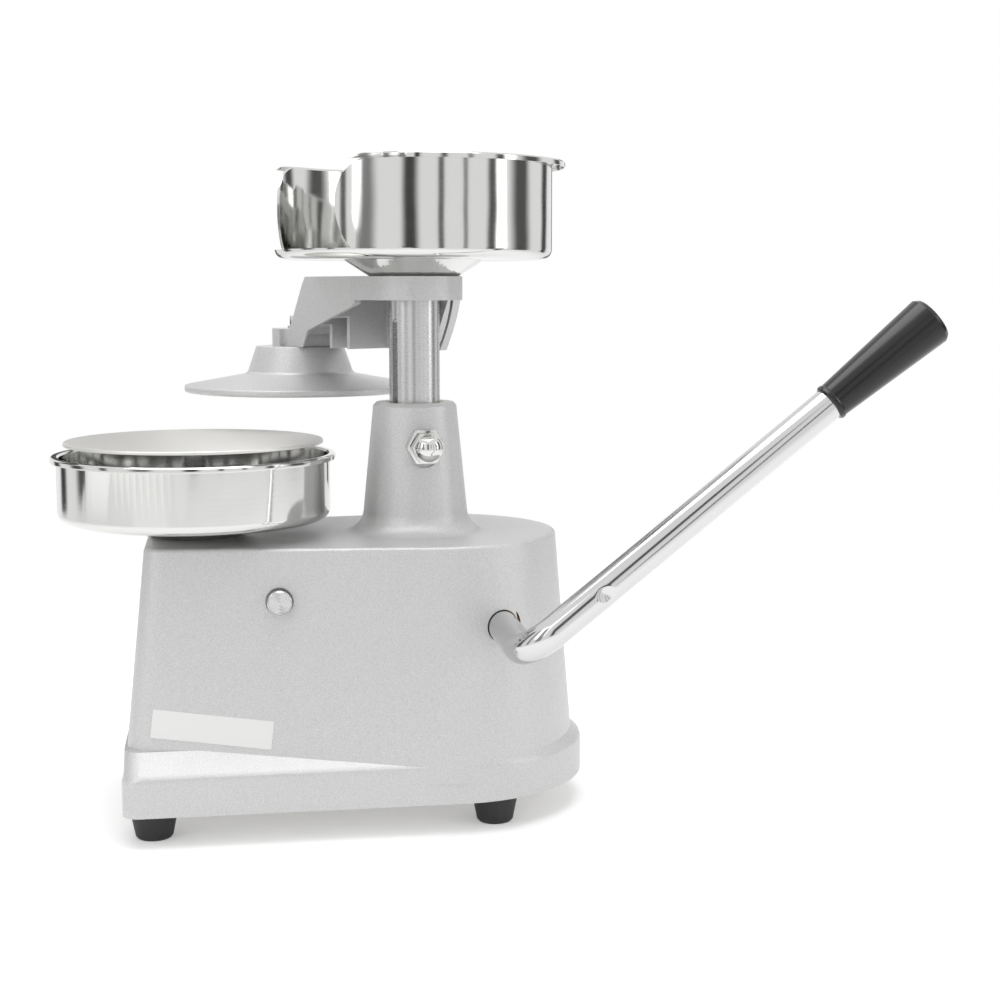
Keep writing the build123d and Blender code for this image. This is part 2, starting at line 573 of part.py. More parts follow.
def lever_grip():
    """Tapered moulded grip with a small lip at the rod end and a slightly domed end."""
    r = SHAFT_R + FIT
    profile = [(r, 0), (GRIP_R_SMALL - 1.0, 0), (GRIP_R_SMALL, 1.0), (GRIP_R_SMALL, 2.6), (GRIP_R_SMALL - 0.5, 3.4),
               (GRIP_R_BIG, GRIP_LEN - 3.0), (GRIP_R_BIG - 1.4, GRIP_LEN - 0.8), (GRIP_R_BIG - 4.0, GRIP_LEN),
               (0, GRIP_LEN), (0, ROD_IN_GRIP + FIT), (r, ROD_IN_GRIP + FIT)]
    rise = radians(LEVER_RISE)
    start = (LEVER_X, SHAFT_Y + GRIP_START * cos(rise), SHAFT_Z + GRIP_START * sin(rise))
    return Plane(origin=start, x_dir=(1, 0, 0), z_dir=(0, cos(rise), sin(rise))) * turned(profile)


def shaft_washer():
    """Retaining ring and thrust washer on the shaft, outside the left bush."""
    x = -wall_face_at(SHAFT_Y, SHAFT_Z) - SEAT
    return cylinder_x(SHAFT_R + 4, x - 2.0, x, SHAFT_Y, SHAFT_Z) - cylinder_x(SHAFT_R + FIT / 2, x - 3, x + 1, SHAFT_Y, SHAFT_Z)


def rocker_angle_point(reach, angle):
    """A place on the rocker: reach from its pin at an angle, degrees down from level to the front."""
    return ROCKER_Y - reach * cos(radians(angle)), ROCKER_Z - reach * sin(radians(angle))


def rocker_link_end():
    """Place of the rocker's lower pin in the pose shown: (y, z)."""
    half = radians(ROCKER_TRAVEL / 2)
    return ROCKER_Y - LINK_R * sin(half), ROCKER_Z - LINK_R * cos(half)


def rocker():
    """Bell crank on the pivot pin: forked nose under the ejector, lower arm on the draw bar."""
    nose = rocker_angle_point(ROCKER_REACH, -ROCKER_UP)
    x0 = LINK_X - BAR_T / 2 - FREE - PLATE_T
    side = ROLLER_W / 2 + 0.5
    piece = cylinder_x(ROCKER_HUB_R, x0, PIN_BOSS_X - 1.0, ROCKER_Y, ROCKER_Z)
    for a, b in ((side, side + 4), (-side - 4, -side)):
        piece += link_plate(a, b, (ROCKER_Y, ROCKER_Z), ROCKER_HUB_R, nose, 4.6)
        piece -= cylinder_x(3.0, a - 1, b + 1, *nose)
    piece += link_plate(x0, x0 + PLATE_T, (ROCKER_Y, ROCKER_Z), ROCKER_HUB_R, rocker_link_end(), 8.0)
    piece -= cylinder_x(LINK_PIN_R, x0 - 1, x0 + PLATE_T + 1, *rocker_link_end())
    return piece - cylinder_x(ROCKER_PIN_R + FIT, x0 - 1, PIN_BOSS_X, ROCKER_Y, ROCKER_Z)


def rocker_roller():
    """Roller on its axle in the rocker's forked nose."""
    nose = rocker_angle_point(ROCKER_REACH, -ROCKER_UP)
    side = ROLLER_W / 2 + 0.5
    return cylinder_x(ROLLER_R, -ROLLER_W / 2, ROLLER_W / 2, *nose) + cylinder_x(3.0 - FIT, -side - 4, side + 4, *nose)


def rocker_link_pin():
    """Pin at the rocker's lower end, in the draw bar's front slot."""
    y, z = rocker_link_end()
    x0 = LINK_X - BAR_T / 2 - FREE - PLATE_T
    pin = cylinder_x(LINK_PIN_R - FIT, x0, LINK_X + BAR_T / 2 + FREE, y, z)
    return pin + cylinder_x(LINK_PIN_R + 2, LINK_X + BAR_T / 2 + FREE, LINK_X + BAR_T / 2 + FREE + 1.5, y, z)


def draw_bar():
    """Flat bar between crank and rocker with an upright slot at each end."""
    rear_y, rear_z = crank_end()
    front_y, front_z = rocker_link_end()
    rear_rise = CRANK_R * (1 - cos(radians(LEVER_TRAVEL / 2)))
    front_rise = LINK_R * (1 - cos(radians(ROCKER_TRAVEL / 2)))
    x0, x1 = LINK_X - BAR_T / 2, LINK_X + BAR_T / 2
    rear = (rear_y, rear_z - rear_rise / 2)
    front = (front_y, front_z - front_rise / 2)
    bar = link_plate(x0, x1, rear, BAR_H / 2 + 2, front, BAR_H / 2 + 2)
    for (y, z), rise in ((rear, rear_rise), (front, front_rise)):
        half = rise / 2 + FREE
        wide = LINK_PIN_R + FREE
        bar -= block(x0 - 1, x1 + 1, y - wide, y + wide, z - half, z + half)
        bar -= cylinder_x(wide, x0 - 1, x1 + 1, y, z - half)
        bar -= cylinder_x(wide, x0 - 1, x1 + 1, y, z + half)
    return bar


def ejector_plate():
    """Flat round plate that lifts the patty out of the bowl."""
    plate = cylinder_z(EJECTOR_R, EJECTOR_TOP - EJECTOR_T, EJECTOR_TOP, 0, BOWL_Y)
    plate = chamfer(plate.faces().sort_by(Axis.Z)[-1].edges(), 0.5)
    return plate


def ejector_stem():
    """Guide stem under the ejector plate: flange above, narrow foot on the roller between the cheeks."""
    top = EJECTOR_TOP - EJECTOR_T
    roller_top = rocker_angle_point(ROCKER_REACH, -ROCKER_UP)[1] + ROLLER_R
    foot = roller_top + SEAT
    stem = cylinder_z(EJECTOR_STEM_R, foot + EJECTOR_FOOT_H - 1, top, 0, BOWL_Y)
    half = EJECTOR_FOOT_W / 2
    stem += block(-half, half, BOWL_Y - 10, BOWL_Y + 14, foot, foot + EJECTOR_FOOT_H)
    flange = cylinder_z(EJECTOR_STEM_R + 8, top - 3.0, top, 0, BOWL_Y)
    return stem + flange


def press_arm():
    """Swing arm casting, built over the bowl: round boss, hollow ribbed beam, foot with a bolt boss."""
    reach = BOWL_Y
    nose_y = -NOSE_REACH
    circles = Circle(BOSS_R).edges() + (Pos(0, reach) * Circle(FOOT_BOSS_R)).edges()
    plan = make_hull(circles)
    blank = prism_z(plan, FOOT_LOW, ARM_TOP)
    side_view = prism_x([
        (BOSS_R + 1, ARM_TOP), (BOSS_R + 1, ARM_TOP - ARM_BAND), (10.0, ARM_TOP - ARM_BAND), (-6.0, FOOT_LOW),
        (reach - FOOT_BOSS_R, FOOT_LOW), (reach - FOOT_BOSS_R, FOOT_TOP), (reach + 14.5, FOOT_TOP),
        (nose_y, ARM_TOP),
    ], -BOSS_R - 1, BOSS_R + 1)
    arm = blank & side_view
    inner = make_hull(Circle(BOSS_R - ARM_WALL).edges() + (Pos(0, reach + 30) * Circle(FOOT_BOSS_R - 3)).edges())
    room = prism_z(inner, FOOT_LOW - 1, ARM_TOP - 6) & prism_x([
        (BOSS_R, ARM_TOP - 6), (BOSS_R, FOOT_LOW - 1), (reach + 24, FOOT_LOW - 1), (reach + 24, FOOT_TOP - 3),
        (nose_y + 1, ARM_TOP - 6),
    ], -BOSS_R, BOSS_R)
    room -= cylinder_z(COLUMN_R + 7, FOOT_LOW, ARM_TOP)
    for y in (-58.0, -78.0):
        room -= block(-BOSS_R, BOSS_R, y - 1.5, y + 1.5, FOOT_LOW, ARM_TOP)
    arm -= room
    near_edge = prism_x([
        (BOSS_R + 2, ARM_TOP - ARM_BAND), (-16.0, ARM_TOP - ARM_BAND), (-91.0, FOOT_TOP - 0.5),
        (-102.0, FOOT_LOW - 2), (BOSS_R + 2, FOOT_LOW - 2),
    ], 9.0, BOSS_R + 2)
    arm -= near_edge
    arm -= block(-BOSS_R - 1, BOSS_R + 1, -24.0, BOSS_R + 1, FOOT_LOW - 1, ARM_TOP - ARM_BAND) & (
        cylinder_z(60.0, FOOT_LOW - 1, ARM_TOP) - block(-60, -17.5, -60, 60, FOOT_LOW - 1, ARM_TOP))
    arm -= cheek_facet()
    arm -= cylinder_z(COLUMN_R + FIT / 2, FOOT_LOW - 1, ARM_TOP - 1.0)
    arm -= cylinder_z(4.0 + FIT, ARM_TOP - 2, ARM_TOP + 1)
    arm -= cylinder_z(4.0 + FIT, FOOT_LOW - 1, FOOT_TOP + 1, 0, reach)
    return arm


def cheek_facet():
    """Wedge cut off the arm's near top edge: a slanted facet that widens towards the foot."""
    corner = Vector(22.0, -88.0, ARM_TOP)
    crease = Vector(22.0, -54.0, 295.0)
    tail = Vector(17.0, -112.0, 284.0)
    facet = Plane(origin=corner, z_dir=(crease - corner).cross(tail - corner))
    if facet.z_dir.X < 0:
        facet = Plane(origin=corner, z_dir=-facet.z_dir)
    return facet * Pos(0, 0, 30) * Box(120, 120, 60) & block(-40, 40, -125, -20, FOOT_LOW, ARM_TOP)


def press_plate():
    """Press plate turned in one with its conical hub."""
    z = PRESS_Z
    plate = turned([(0, z), (PRESS_R - 1.0, z), (PRESS_R, z + 1.0), (PRESS_R, z + PRESS_EDGE - 0.6),
                    (PRESS_R - 0.8, z + PRESS_EDGE), (HUB_R_LOW + 1.5, HUB_Z_LOW), (HUB_R_LOW - 0.4, HUB_Z_LOW + 1.5),
                    (HUB_R_TOP, FOOT_LOW), (0, FOOT_LOW)], 0, BOWL_Y)
    return plate - cylinder_z(4.0, FOOT_LOW - 24, FOOT_LOW + 1, 0, BOWL_Y)


def press_bolt():
    """Hexagon bolt that holds the press plate to the arm's foot."""
    z = FOOT_TOP + 1.6
    bolt = cylinder_z(4.0 - FIT, FOOT_LOW - 22, z, 0, BOWL_Y)
    head = hexagon_z(13.0, z, z + 6.5, 0, BOWL_Y) & cone_z(13.6, 6.6, z, z + 6.5 + 0.01, 0, BOWL_Y)
    return bolt + head


def press_washer():
    """Plain washer under the bolt's head."""
    ring = cylinder_z(8.0, FOOT_TOP, FOOT_TOP + 1.6, 0, BOWL_Y)
    return ring - cylinder_z(4.0 + FIT, FOOT_TOP - 1, FOOT_TOP + 2, 0, BOWL_Y)


def paper_dispenser():
    """Pan for the paper discs on top of the arm, with a finger notch in its wall."""
    z0 = ARM_TOP
    pan = pressing(PAN_R, PAN_H + CONE_H, PAN_LIP, z0)
    sill = z0 + CONE_H + NOTCH_SILL
    top = z0 + CONE_H + PAN_H
    waist = top - NOTCH_FLARE
    wide = (PAN_R + PAN_LIP) * sin(radians(NOTCH_TOP_HALF))
    narrow = PAN_R * sin(radians(NOTCH_WAIST_HALF))
    low = PAN_R * sin(radians(NOTCH_SILL_HALF))
    notch = Plane.YZ * make_face([
        Line((wide, top + 1), (-wide, top + 1)),
        Line((-wide, top + 1), (-wide, top)),
        ThreePointArc((-wide, top), (-narrow - 0.3 * (wide - narrow), top - 0.3 * NOTCH_FLARE), (-narrow, waist)),
        ThreePointArc((-narrow, waist), (-narrow - 0.2 * (low - narrow), (waist + sill) / 2), (-low, sill)),
        Line((-low, sill), (low, sill)),
        ThreePointArc((low, sill), (narrow + 0.2 * (low - narrow), (waist + sill) / 2), (narrow, waist)),
        ThreePointArc((narrow, waist), (narrow + 0.3 * (wide - narrow), top - 0.3 * NOTCH_FLARE), (wide, top)),
        Line((wide, top), (wide, top + 1)),
    ])
    cutter = extrude(notch, 60 + PAN_R, dir=(1, 0, 0))
    cutter -= cylinder_z(40.0, z0, top + 2)
    pan -= Rot(0, 0, NOTCH_MID) * cutter
    return pan - cylinder_z(4.0 + FIT, z0 - 1, z0 + 3)


def top_screw():
    """Low-head screw that clamps pan and arm to the column."""
    z = ARM_TOP + SHEET
    return cylinder_z(4.0 - FIT, ARM_TOP - 24, z) + cylinder_z(8.0, z, z + 3.5) - hexagon_z(5.0, z + 1.5, z + 5)


def solids_of(shape):
    """All separate solids of one node as a compound."""
    pieces = shape if isinstance(shape, list) else [shape]
    solids = [solid for piece in pieces for solid in piece.solids()]
    return Compound(children=solids) if len(solids) > 1 else solids[0]


def build():
    """Every node by name, laid out about the column's axis."""
    shaft_wall = wall_face_at(SHAFT_Y, SHAFT_Z)
    out = Rot(0, 0, -SWING)
    return {
        "base_housing": base_housing(),
        "base_plate": base_plate(),
        "rubber_feet": feet(),
        "foot_screws": foot_screws(),
        "mould_bowl": bowl(),
        "bowl_screws": bowl_screws(),
        "column_bush_upper": sleeve_z(COLUMN_R, NECK_TOP - BUSH_LEN_TOP, NECK_TOP),
        "column_bush_lower": sleeve_z(COLUMN_R, BODY_TOP - 10.0, BODY_TOP - 10.0 + BUSH_LEN),
        "ejector_bush": sleeve_z(EJECTOR_STEM_R, BODY_TOP - ROOF, BODY_TOP + SHEET, BOWL_Y),
        "shaft_bush_right": sleeve_x(SHAFT_R, 50.0, shaft_wall - WALL, SHAFT_Y, SHAFT_Z),
        "shaft_bush_left": sleeve_x(SHAFT_R, WALL - shaft_wall, -50.0, SHAFT_Y, SHAFT_Z),
        "guide_bolt": guide_bolt(),
        "guide_jam_nut": guide_jam_nut(),
        "guide_cap_nut": guide_cap_nut(),
        "rocker_pin": rocker_pin(),
        "lever_rod": lever_rod(),
        "lever_grip": lever_grip(),
        "crank_fork": crank_fork(),
        "crank_set_screws": crank_set_screws(),
        "fork_rollers": fork_rollers(),
        "crank_pin": crank_pin(),
        "shaft_washer": shaft_washer(),
        "lift_collar": lift_collar(),
        "column": out * column(),
        "column_end_screw": out * column_end_screw(),
        "press_arm": out * press_arm(),
        "press_plate": out * press_plate(),
        "press_bolt": out * press_bolt(),
        "press_washer": out * press_washer(),
        "paper_dispenser": paper_dispenser(),
        "top_screw": top_screw(),
        "ejector_plate": ejector_plate(),
        "ejector_stem": ejector_stem(),
        "rocker": rocker(),
        "rocker_roller": rocker_roller(),
        "rocker_link_pin": rocker_link_pin(),
        "draw_bar": draw_bar(),
    }


nodes = {name: solids_of(shape) for name, shape in build().items()}
boxes = [shape.bounding_box() for shape in nodes.values()]
SHIFT = (
    -(min(b.min.X for b in boxes) + max(b.max.X for b in boxes)) / 2,
    -(min(b.min.Y for b in boxes) + max(b.max.Y for b in boxes)) / 2,
    -min(b.min.Z for b in boxes),
)
for name, shape in nodes.items():
    export_step(shape.moved(Location(SHIFT)), f"parts/{name}.step")
print("moved by", SHIFT)
print("travels: column", COLUMN_TRAVEL, "ejector", EJECTOR_TRAVEL, "rocker", ROCKER_TRAVEL, "bar", BAR_TRAVEL)
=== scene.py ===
import json
from math import cos, pi, radians, sin, tan

import bmesh
import bpy
from bmesh.types import BMEdge, BMVert
from mathutils import Matrix, Vector
from mathutils.bvhtree import BVHTree

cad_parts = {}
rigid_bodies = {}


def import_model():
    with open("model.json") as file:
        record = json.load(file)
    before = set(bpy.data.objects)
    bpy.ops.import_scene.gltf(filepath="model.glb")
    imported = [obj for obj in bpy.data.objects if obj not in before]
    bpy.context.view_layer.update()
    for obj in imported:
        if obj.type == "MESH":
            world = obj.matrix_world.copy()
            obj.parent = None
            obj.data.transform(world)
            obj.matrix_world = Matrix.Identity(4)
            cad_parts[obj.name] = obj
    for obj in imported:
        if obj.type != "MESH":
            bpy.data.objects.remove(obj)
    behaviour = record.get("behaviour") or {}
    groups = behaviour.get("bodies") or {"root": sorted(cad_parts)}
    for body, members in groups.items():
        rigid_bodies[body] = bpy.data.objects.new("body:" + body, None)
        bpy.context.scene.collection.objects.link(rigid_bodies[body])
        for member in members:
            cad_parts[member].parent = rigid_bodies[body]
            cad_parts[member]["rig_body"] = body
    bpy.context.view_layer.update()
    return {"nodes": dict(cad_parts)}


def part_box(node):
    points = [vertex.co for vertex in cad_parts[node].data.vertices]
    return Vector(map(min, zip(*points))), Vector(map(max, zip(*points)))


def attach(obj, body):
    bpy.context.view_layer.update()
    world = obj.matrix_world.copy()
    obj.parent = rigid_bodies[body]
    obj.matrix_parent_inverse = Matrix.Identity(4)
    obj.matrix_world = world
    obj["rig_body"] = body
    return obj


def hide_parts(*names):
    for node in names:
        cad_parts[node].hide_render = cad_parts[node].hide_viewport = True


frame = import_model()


# Castings: the base, the swing arm and the press plate are cast aluminium with a sprayed silver finish.
# The eye sees a fine dark and light speckle, a low orange-peel bump and a soft sheen, and a small round
# on every edge. The speckle is drawn 0.55 mm across, coarser than the real one, so that it shows.
SILVER = "#D2D2D2"
SILVER_DARK = "#BEBEBE"
DARK_UP_TO, LIGHT_FROM = 0.36, 0.6
SPECKLE_MM = 0.55
BLOTCH_MM = 16.7
CASTINGS = {
    "base_housing": ("cast_base", 0.0010),
    "press_arm": ("cast_arm", 0.0012),
    "press_plate": ("cast_plate", 0.0006),
}
MERGE_WITHIN = 2e-6
FLAT_BELOW = radians(0.4)
EDGE_ABOVE = radians(32)


def colour(hexa):
    """Linear RGBA of an sRGB hex colour."""
    channels = [int(hexa[i:i + 2], 16) / 255 for i in (1, 3, 5)]
    return [c / 12.92 if c <= 0.04045 else ((c + 0.055) / 1.055) ** 2.4 for c in channels] + [1.0]


def add(tree, kind, inputs=None, **settings):
    """Adds a node, sets its properties, and links or sets its inputs."""
    node = tree.nodes.new("ShaderNode" + kind)
    for name, value in settings.items():
        setattr(node, name, value)
    for name, value in (inputs or {}).items():
        if isinstance(value, bpy.types.NodeSocket):
            tree.links.new(value, node.inputs[name])
        else:
            node.inputs[name].default_value = value
    return node


def start_finish(name, base, metallic):
    """A new finish: its material, node tree, shader and Object coordinates."""
    material = bpy.data.materials.new(name)
    material.use_nodes = True
    tree = material.node_tree
    shader = tree.nodes["Principled BSDF"]
    shader.inputs["Base Color"].default_value = colour(base)
    shader.inputs["Metallic"].default_value = metallic
    return material, tree, shader, add(tree, "TexCoord").outputs["Object"]


def merged_copy(name):
    """A bmesh of a CAD node, with doubles merged and flat faces joined."""
    bm = bmesh.new()
    bm.from_mesh(frame["nodes"][name].data)
    bmesh.ops.remove_doubles(bm, verts=bm.verts, dist=MERGE_WITHIN)
    bmesh.ops.dissolve_limit(bm, angle_limit=FLAT_BELOW, verts=bm.verts, edges=bm.edges)
    return bm


def round_edges(bm, size):
    """Rounds every edge that turns by more than EDGE_ABOVE."""
    edges = [e for e in bm.edges if e.is_manifold and e.calc_face_angle(0) > EDGE_ABOVE]
    bmesh.ops.bevel(bm, geom=edges, offset=size, offset_type="OFFSET", affect="EDGES", segments=3,
                    profile=0.5, clamp_overlap=True, material=-1)


def make_piece(bm, name, material, body, stands_for=None, sharp_above=EDGE_ABOVE):
    """Makes a bmesh a smooth piece that rides on a body and may stand for a CAD node."""
    mesh = bpy.data.meshes.new(name)
    bm.to_mesh(mesh)
    bm.free()
    mesh.shade_smooth()
    mesh.set_sharp_from_angle(angle=sharp_above)
    mesh.materials.append(material)
    piece = bpy.data.objects.new(name, mesh)
    bpy.context.scene.collection.objects.link(piece)
    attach(piece, body)
    if stands_for:
        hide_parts(stands_for)
    return piece


speckled, tree, shader, place = start_finish("speckled_silver_cast_aluminium", SILVER, 0.35)
grain = add(tree, "TexNoise", {"Vector": place, "Scale": 1000 / SPECKLE_MM, "Detail": 2.0, "Roughness": 0.6})
blotch = add(tree, "TexNoise", {"Vector": place, "Scale": 1000 / BLOTCH_MM, "Detail": 3.0})
ramp = add(tree, "ValToRGB", {"Fac": grain.outputs["Fac"]})
dark_end, light_end = ramp.color_ramp.elements
dark_end.position, light_end.position = DARK_UP_TO, LIGHT_FROM
dark_end.color, light_end.color = colour(SILVER_DARK), colour(SILVER)
rough = add(tree, "MapRange", {"Value": blotch.outputs["Fac"], "To Min": 0.38, "To Max": 0.47})
bump = add(tree, "Bump", {"Height": grain.outputs["Fac"], "Strength": 0.25, "Distance": 0.0002})
tree.links.new(ramp.outputs["Color"], shader.inputs["Base Color"])
tree.links.new(rough.outputs["Result"], shader.inputs["Roughness"])
tree.links.new(bump.outputs["Normal"], shader.inputs["Normal"])
for name, (slot, edge_round) in CASTINGS.items():
    bm = merged_copy(name)
    round_edges(bm, edge_round)
    body = frame["nodes"][name]["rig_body"]
    piece = make_piece(bm, name + "_finished", speckled, body, stands_for=name)
    even = piece.modifiers.new("even_shading", "WEIGHTED_NORMAL")
    even.keep_sharp = True


# Bright parts: the pressed bowl and paper pan, the nuts and the screws are mirror-polished stainless
# steel. The eye sees a clear mirror with faint turning lines in its gloss, drawn 1.1 mm apart so that
# they show, and reflections that swim with the waves of the sheet. The pan's lip narrows at its notch.
LINE_MM, LINE_RUN_MM = 1.11, 125.0
WAVE_MM = 45.5
BRIGHT_PARTS = {
    "mould_bowl": ("polished_bowl", 0.0003),
    "paper_dispenser": ("polished_pan", 0.0003),
    "guide_jam_nut": ("chromed_nuts", 0.0007),
    "guide_cap_nut": ("chromed_nuts", 0.0006),
    "press_bolt": ("chromed_nuts", 0.0006),
    "press_washer": ("chromed_nuts", 0.0002),
}
PAN_WALL_R = 0.0828
NOTCH_WAY = Vector((cos(radians(-71)), sin(radians(-71))))
LIP_NARROW, LIP_FULL = radians(50), radians(66)
LIP_LEFT = 0.25


def narrow_lip(bm):
    """Draws the pan's lip in towards the wall where it nears the notch."""
    low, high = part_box("column")
    axis = Vector(((low[0] + high[0]) / 2, (low[1] + high[1]) / 2))
    for vert in bm.verts:
        arm = vert.co.xy - axis
        apart = abs(arm.angle_signed(NOTCH_WAY))
        if arm.length > PAN_WALL_R and apart < LIP_FULL:
            grown = max(0.0, (apart - LIP_NARROW) / (LIP_FULL - LIP_NARROW))
            kept = max(LIP_LEFT, grown * grown * (3 - 2 * grown))
            vert.co.xy = axis + arm.normalized() * (PAN_WALL_R + (arm.length - PAN_WALL_R) * kept)


def coat(material, *names):
    """Gives CAD nodes a finish in place of their plain one."""
    for name in names:
        frame["nodes"][name].data.materials.clear()
        frame["nodes"][name].data.materials.append(material)


polished, tree, shader, place = start_finish("mirror_polished_stainless_steel", "#D4D4D2", 1.0)
along, across = 1000 / LINE_RUN_MM, 1000 / LINE_MM
stretch = add(tree, "Mapping", {"Vector": place, "Scale": (along, along, across)})
lines = add(tree, "TexNoise", {"Vector": stretch.outputs["Vector"], "Scale": 1.0, "Detail": 2.0})
rough = add(tree, "MapRange", {"Value": lines.outputs["Fac"], "To Min": 0.06, "To Max": 0.12})
wave = add(tree, "TexNoise", {"Vector": place, "Scale": 1000 / WAVE_MM, "Detail": 1.0})
bump = add(tree, "Bump", {"Height": wave.outputs["Fac"], "Strength": 0.35, "Distance": 0.0015})
tree.links.new(rough.outputs["Result"], shader.inputs["Roughness"])
tree.links.new(bump.outputs["Normal"], shader.inputs["Normal"])
for name, (slot, edge_round) in BRIGHT_PARTS.items():
    bm = merged_copy(name)
    if name == "paper_dispenser":
        narrow_lip(bm)
    round_edges(bm, edge_round)
    make_piece(bm, name + "_finished", polished, frame["nodes"][name]["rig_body"], stands_for=name)
coat(polished, "foot_screws", "bowl_screws", "guide_bolt", "shaft_washer", "column_end_screw", "top_screw")


# Satin parts: the ejector plate, a pressed disc with a rounded edge, and the sheet under the base are
# steel sheet with a satin finish. The eye sees a pale, soft gloss with a fine grain, drawn 1.4 mm
# across, coarser than the real one, so that it shows.
SATIN_GRAIN_MM = 1.43
PLATE_ROUND = 0.0005
satin, tree, shader, place = start_finish("pale_satin_stainless_steel", "#DEDDDA", 0.75)
grain = add(tree, "TexNoise", {"Vector": place, "Scale": 1000 / SATIN_GRAIN_MM, "Detail": 2.0})
rough = add(tree, "MapRange", {"Value": grain.outputs["Fac"], "To Min": 0.34, "To Max": 0.46})
tree.links.new(rough.outputs["Result"], shader.inputs["Roughness"])
bm = merged_copy("ejector_plate")
round_edges(bm, PLATE_ROUND)
make_piece(bm, "ejector_plate_finished", satin, "ejector", stands_for="ejector_plate")
coat(satin, "base_plate")


# Ground parts: the column, the collar on it and the pins, rollers, screws and bar that work inside the
# base are steel, ground and polished. The eye sees a soft mirror with faint rings round the column,
# drawn 0.7 mm apart, coarser than the real ones, so that they show.
GRIND_MM, GRIND_RUN_MM = 0.667, 16.7
ground, tree, shader, place = start_finish("ground_and_polished_steel", "#C9C9CA", 1.0)
along, across = 1000 / GRIND_RUN_MM, 1000 / GRIND_MM
stretch = add(tree, "Mapping", {"Vector": place, "Scale": (along, along, across)})
grain = add(tree, "TexNoise", {"Vector": stretch.outputs["Vector"], "Scale": 1.0, "Detail": 2.0})
rough = add(tree, "MapRange", {"Value": grain.outputs["Fac"], "To Min": 0.24, "To Max": 0.32})
tree.links.new(rough.outputs["Result"], shader.inputs["Roughness"])
coat(ground, "column", "fork_rollers", "crank_pin", "lift_collar", "ejector_stem", "rocker_roller",
     "rocker_link_pin", "draw_bar", "crank_set_screws")


# Pivot pin of the rocker: a steel pin, turned flat at its end, which shows in the right wall.
# The eye sees the rings that the turning tool left, drawn 0.8 mm apart so that they show. The wave
# texture has one ring in every 2 pi / 20 of its own units.
RING_MM = 0.8
WAVE_UNIT = 2 * pi / 20
turned, tree, shader, place = start_finish("turned_steel_end", "#CACACB", 1.0)
low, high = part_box("rocker_pin")
to_centre = (0.0, -(low[1] + high[1]) / 2, -(low[2] + high[2]) / 2)
centred = add(tree, "Mapping", {"Vector": place, "Location": to_centre})
rings = add(tree, "TexWave", {"Vector": centred.outputs["Vector"], "Scale": WAVE_UNIT * 1000 / RING_MM},
            wave_type="RINGS", rings_direction="X")
bump = add(tree, "Bump", {"Height": rings.outputs["Fac"], "Strength": 0.5, "Distance": 0.00012})
tree.links.new(bump.outputs["Normal"], shader.inputs["Normal"])
shader.inputs["Roughness"].default_value = 0.2
coat(turned, "rocker_pin")


# Lever rod: one bent steel bar, the shaft across the base and the lever in one, with bright chrome
# plate and a dent that a tool pressed in beside the bend. The eye sees a mirror with faint smears.
ROD_R = 0.00875
BEND_R = 0.0200
SHAFT_END = Vector((-0.0616, 0.013936, 0.1174))
LEVER_X = 0.160363
RISE = radians(38.6)
ROD_LENGTH = 0.2655
BEND_STEPS = 24
ROUND_STEPS = 72
DENT_AT, DENT_TURN = 0.0525, radians(-4)
DENT_R, DENT_DEEP = 0.0056, 0.0018
DENT_CUTS = 12
DENT_CUTS_REACH = 1.2 * DENT_R
ROD_SHARP_ABOVE = radians(40)
SMEAR_MM = 28.6
chrome, tree, shader, place = start_finish("bright_chrome_plate", "#CFCFCF", 1.0)
smear = add(tree, "TexNoise", {"Vector": place, "Scale": 1000 / SMEAR_MM, "Detail": 4.0})
rough = add(tree, "MapRange", {"Value": smear.outputs["Fac"], "To Min": 0.07, "To Max": 0.15})
tree.links.new(rough.outputs["Result"], shader.inputs["Roughness"])


def only(geom, kind):
    """The vertices or edges among what an operator made."""
    return [g for g in geom if isinstance(g, kind)]


# A circle is drawn along the shaft, round the bend and up the lever, and cut into rings at the dent.
across_base = Vector((1, 0, 0))
up_lever = Vector((0, cos(RISE), sin(RISE)))
over_lever = Vector((0, -sin(RISE), cos(RISE)))
corner = Vector((LEVER_X, SHAFT_END.y, SHAFT_END.z))
bm = bmesh.new()
bmesh.ops.create_circle(bm, radius=ROD_R, segments=ROUND_STEPS,
                        matrix=Matrix.Translation(SHAFT_END) @ Matrix.Rotation(radians(90), 4, "Y"))
made = bmesh.ops.extrude_edge_only(bm, edges=bm.edges[:])["geom"]
bmesh.ops.translate(bm, verts=only(made, BMVert), vec=across_base * (LEVER_X - BEND_R - SHAFT_END.x))
rim = [e for e in only(made, BMEdge) if e.is_boundary]
made = bmesh.ops.spin(bm, geom=rim, cent=corner + BEND_R * (up_lever - across_base), axis=over_lever,
                      angle=radians(90), steps=BEND_STEPS, use_duplicate=False)["geom_last"]
made = bmesh.ops.extrude_edge_only(bm, edges=only(made, BMEdge))["geom"]
bmesh.ops.translate(bm, verts=only(made, BMVert), vec=up_lever * (ROD_LENGTH - BEND_R))
for step in range(DENT_CUTS + 1):
    cut_at = DENT_AT + DENT_CUTS_REACH * (2 * step / DENT_CUTS - 1)
    bmesh.ops.bisect_plane(bm, geom=bm.verts[:] + bm.edges[:] + bm.faces[:], dist=1e-6,
                           plane_co=corner + up_lever * cut_at, plane_no=up_lever)
dent_faces = across_base * cos(DENT_TURN) + over_lever * sin(DENT_TURN)
dent = corner + up_lever * DENT_AT + dent_faces * ROD_R
for vert in bm.verts:
    apart = (vert.co - dent).length / DENT_R
    if apart < 1:
        vert.co -= dent_faces * DENT_DEEP * (0.5 + 0.5 * cos(pi * apart))
bmesh.ops.holes_fill(bm, edges=[e for e in bm.edges if e.is_boundary], sides=0)
bmesh.ops.recalc_face_normals(bm, faces=bm.faces)
make_piece(bm, "lever_rod_finished", chrome, "lever", stands_for="lever_rod",
           sharp_above=ROD_SHARP_ABOVE)


